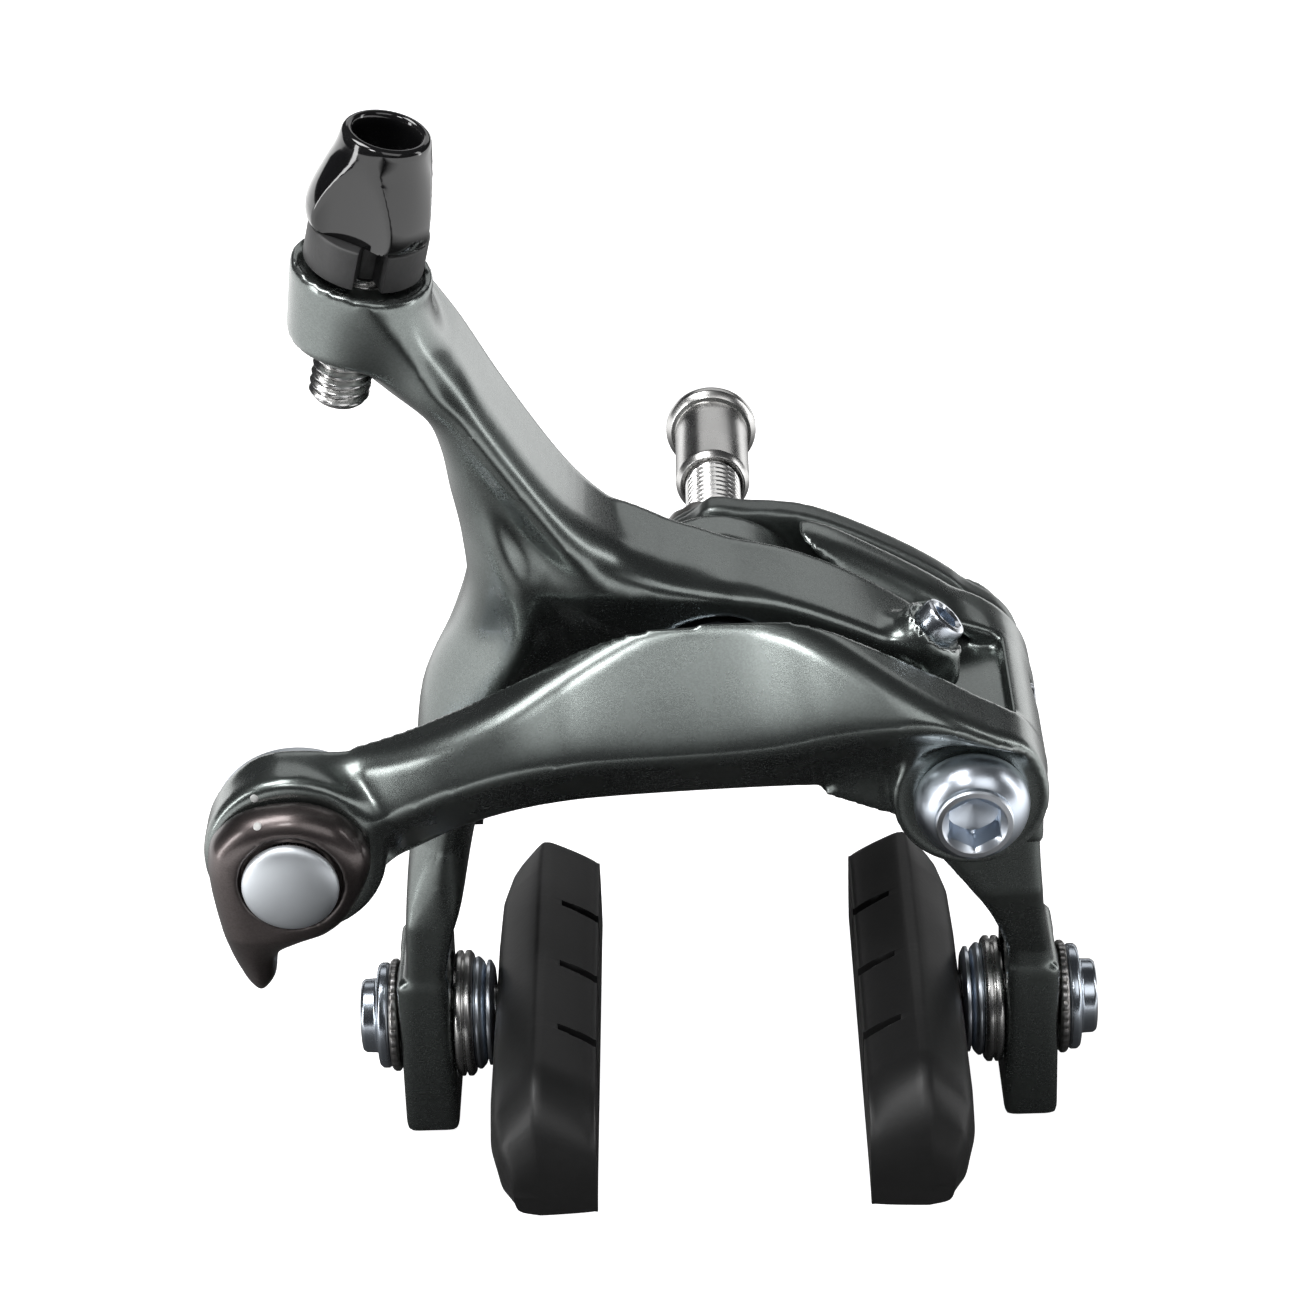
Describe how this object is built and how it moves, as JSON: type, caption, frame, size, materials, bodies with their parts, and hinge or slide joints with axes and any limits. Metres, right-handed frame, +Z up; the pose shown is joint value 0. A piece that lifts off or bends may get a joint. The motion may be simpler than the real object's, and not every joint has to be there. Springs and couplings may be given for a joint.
{
  "type": "rim brake caliper",
  "caption": "Dual-pivot side-pull rim brake caliper with quick release, barrel adjuster and two adjustable brake shoes on a recessed mounting bolt.",
  "frame": {"origin": "on the mounting stud's axis, at the face of the serrated washer that meets the fork crown", "axes": "+X to the right seen from the front, +Y rearwards along the mounting stud, +Z up; the caliper's front faces -Y"},
  "size_m": [0.0901, 0.0786, 0.116],
  "materials": {
    "arm_finish": "satin metallic",
    "bracket_finish": "satin",
    "bright_steel": "polished",
    "stainless": "brushed",
    "zinc_steel": "bright zinc plate",
    "spring_steel": "oiled",
    "bush_plastic": "matte",
    "thrust_plastic": "matte",
    "knob_plastic": "gloss",
    "collar_plastic": "grained",
    "lever_finish": "satin",
    "cap_aluminium": "satin",
    "pad_rubber": "matte"
  },
  "bodies": {
    "bracket": {"bracket": "bracket_finish", "mounting_washer": "stainless", "centre_bolt": "stainless", "recessed_nut": "bright_steel", "centre_lock_nut": "zinc_steel", "front_thrust_washer": "thrust_plastic", "rear_thrust_washer": "thrust_plastic", "side_thrust_washer": "thrust_plastic", "side_pivot_bolt": "bright_steel", "return_spring": "spring_steel"},
    "y_arm": {"y_arm": "arm_finish", "centre_bush": "bush_plastic", "spring_seat": "thrust_plastic"},
    "c_arm": {"c_arm": "arm_finish", "side_bush": "bush_plastic", "contact_block": "thrust_plastic", "pivot_grub_screw": "bright_steel"},
    "centering_screw": {"centering_screw": "bright_steel"},
    "adjuster_collar": {"adjuster_collar": "collar_plastic"},
    "adjuster_knob": {"adjuster_knob": "knob_plastic", "adjuster_screw": "stainless"},
    "quick_release": {"quick_release_lever": "lever_finish", "quick_release_cap": "cap_aluminium", "quick_release_cam": "stainless", "anchor_clip": "spring_steel"},
    "cable_anchor": {"clamp_disc": "cap_aluminium", "clamp_washer": "stainless", "clamp_nut": "zinc_steel"},
    "left_slider": {"left_spacer": "stainless", "left_outer_washer": "stainless"},
    "left_shoe": {"left_brake_pad": "pad_rubber", "left_shoe_stud": "stainless", "left_cup_washer": "bright_steel", "left_ball_washer": "bright_steel", "left_shoe_nut": "zinc_steel"},
    "right_slider": {"right_spacer": "stainless", "right_outer_washer": "stainless"},
    "right_shoe": {"right_brake_pad": "pad_rubber", "right_shoe_stud": "stainless", "right_cup_washer": "bright_steel", "right_ball_washer": "bright_steel", "right_shoe_nut": "zinc_steel"}
  },
  "joints": [
    {"name": "y_arm_pivot", "type": "hinge", "parent": "bracket", "child": "y_arm", "pos_m": [0, -0.0167, 0], "axis": [0, -1, 0], "range_deg": [-1.5, 5], "stiffness_Nm_per_rad": 4, "deforming": ["return_spring"]},
    {"name": "c_arm_pivot", "type": "hinge", "parent": "bracket", "child": "c_arm", "pos_m": [0.0243, -0.02, -0.0085], "axis": [0, -1, 0], "range_deg": [-6.3, 1.95]},
    {"name": "centering_screw_turn", "type": "hinge", "parent": "y_arm", "child": "centering_screw", "pos_m": [0.0223, -0.0242, 0.005], "axis": [0.6756, 0, 0.7373], "range_deg": [-180, 180]},
    {"name": "adjuster_travel", "type": "slide", "parent": "y_arm", "child": "adjuster_collar", "axis": [0.2373, -0.1015, 0.9661], "range_m": [0, 0.003]},
    {"name": "adjuster_turn", "type": "hinge", "parent": "adjuster_collar", "child": "adjuster_knob", "pos_m": [-0.0321, -0.025, 0.0457], "axis": [0.2373, -0.1015, 0.9661], "range_deg": [0, 1080]},
    {"name": "quick_release_turn", "type": "hinge", "parent": "c_arm", "child": "quick_release", "pos_m": [-0.0422, -0.035, -0.0122], "axis": [0, 1, 0], "range_deg": [0, 100]},
    {"name": "cable_anchor_turn", "type": "hinge", "parent": "quick_release", "child": "cable_anchor", "pos_m": [-0.0422, -0.028, -0.0134], "axis": [0, 1, 0], "range_deg": [-100, 0]},
    {"name": "left_shoe_height", "type": "slide", "parent": "y_arm", "child": "left_slider", "axis": [0, 0, 1], "range_m": [-0.004, 0.004]},
    {"name": "left_shoe_tilt", "type": "hinge", "parent": "left_slider", "child": "left_shoe", "pos_m": [-0.0318, -0.02, -0.044], "axis": [1, 0, 0], "range_deg": [-8, 8]},
    {"name": "right_shoe_height", "type": "slide", "parent": "c_arm", "child": "right_slider", "axis": [0, 0, 1], "range_m": [-0.004, 0.004]},
    {"name": "right_shoe_tilt", "type": "hinge", "parent": "right_slider", "child": "right_shoe", "pos_m": [0.0318, -0.02, -0.044], "axis": [1, 0, 0], "range_deg": [-8, 8]}
  ],
  "couplings": [
    {"joint": "c_arm_pivot", "follows": "y_arm_pivot", "ratio": -1.2394},
    {"joint": "adjuster_turn", "follows": "adjuster_travel", "rad_per_m": 6283.2},
    {"joint": "cable_anchor_turn", "follows": "quick_release_turn", "ratio": -1}
  ]
}
